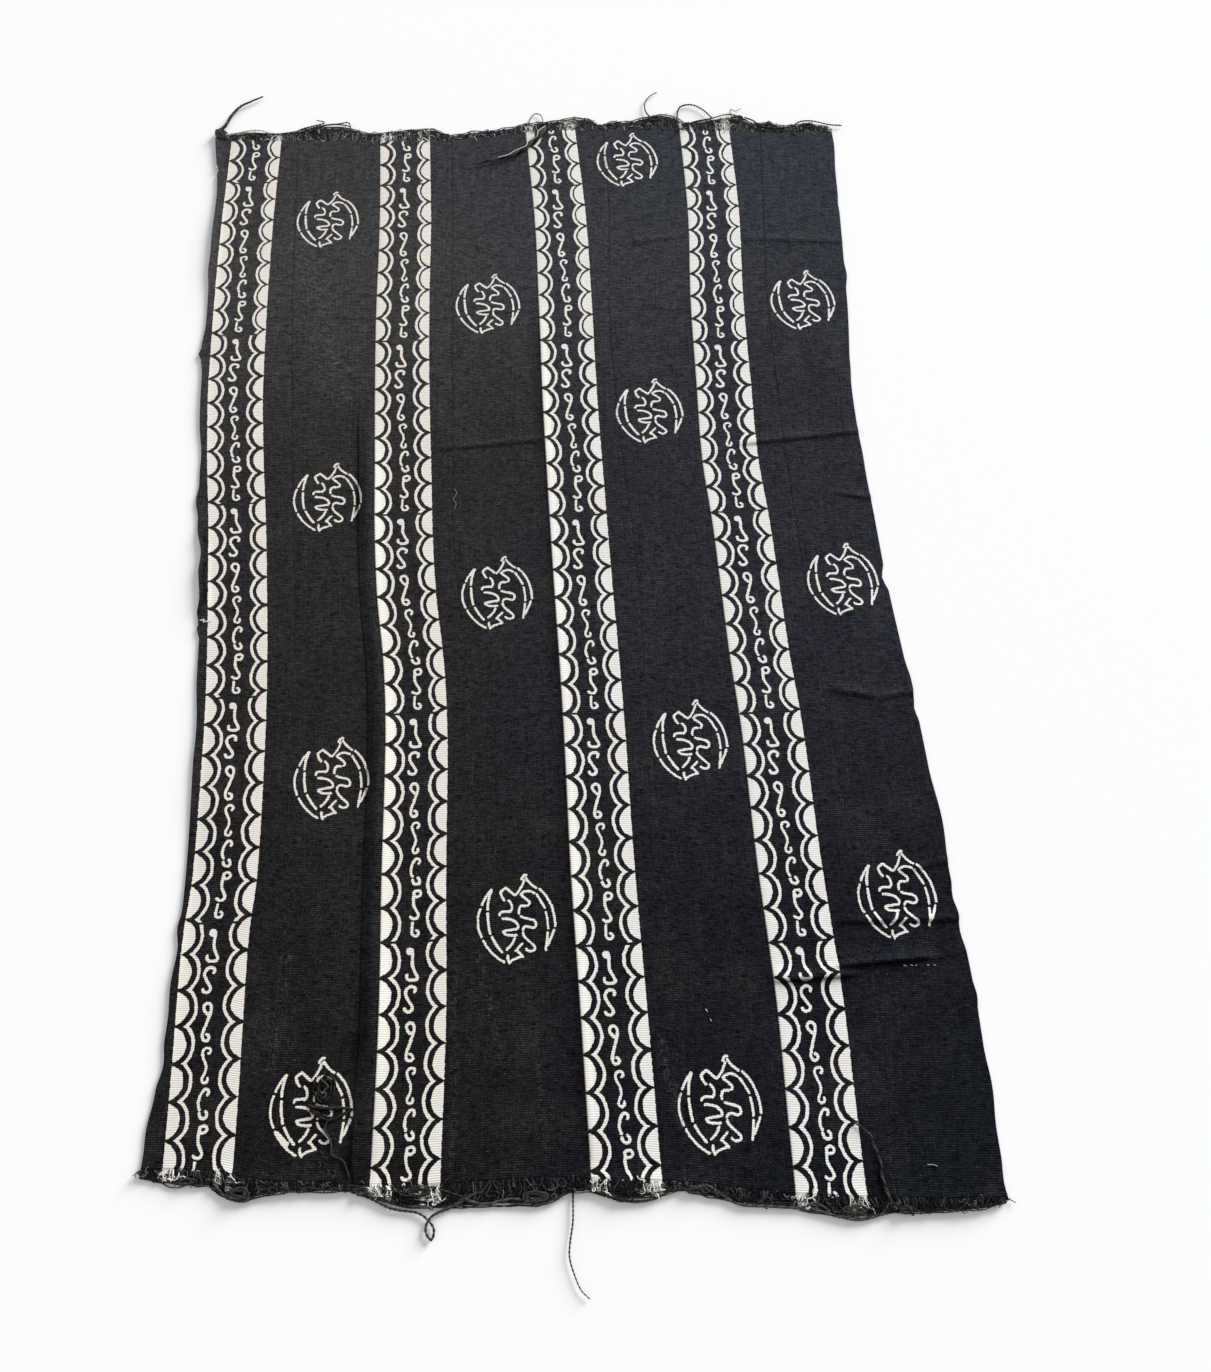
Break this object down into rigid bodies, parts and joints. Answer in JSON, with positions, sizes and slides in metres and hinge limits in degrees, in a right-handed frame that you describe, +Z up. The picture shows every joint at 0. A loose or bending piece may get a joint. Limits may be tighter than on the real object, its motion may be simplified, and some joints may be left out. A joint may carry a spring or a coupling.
{
  "type": "mud cloth",
  "caption": "Printed mud cloth of hand-woven cotton strips sewn edge to edge, laid flat with soft folds and frayed short ends.",
  "frame": {"origin": "on the floor under the middle of the box round the cloth and its yarns", "axes": "+Y along the woven strips towards the far frayed end, +X across the strips towards the eighth one, +Z up out of the cloth's printed face"},
  "size_m": [1.0612, 1.8752, 0.0081],
  "materials": {
    "printed_cloth": "matte charcoal weave with printed white bands",
    "plain_cloth": "matte charcoal weave with white outline symbols",
    "yarn": "matte charcoal cotton yarn, pale where worn"
  },
  "bodies": {
    "root": {"strip_1": "printed_cloth", "strip_2": "plain_cloth", "strip_3": "printed_cloth", "strip_4": "plain_cloth", "strip_5": "printed_cloth", "strip_6": "plain_cloth", "strip_7": "printed_cloth", "strip_8": "plain_cloth", "frayed_end_far": "yarn", "frayed_end_near": "yarn", "yarn_tangle": "yarn"}
  },
  "joints": []
}
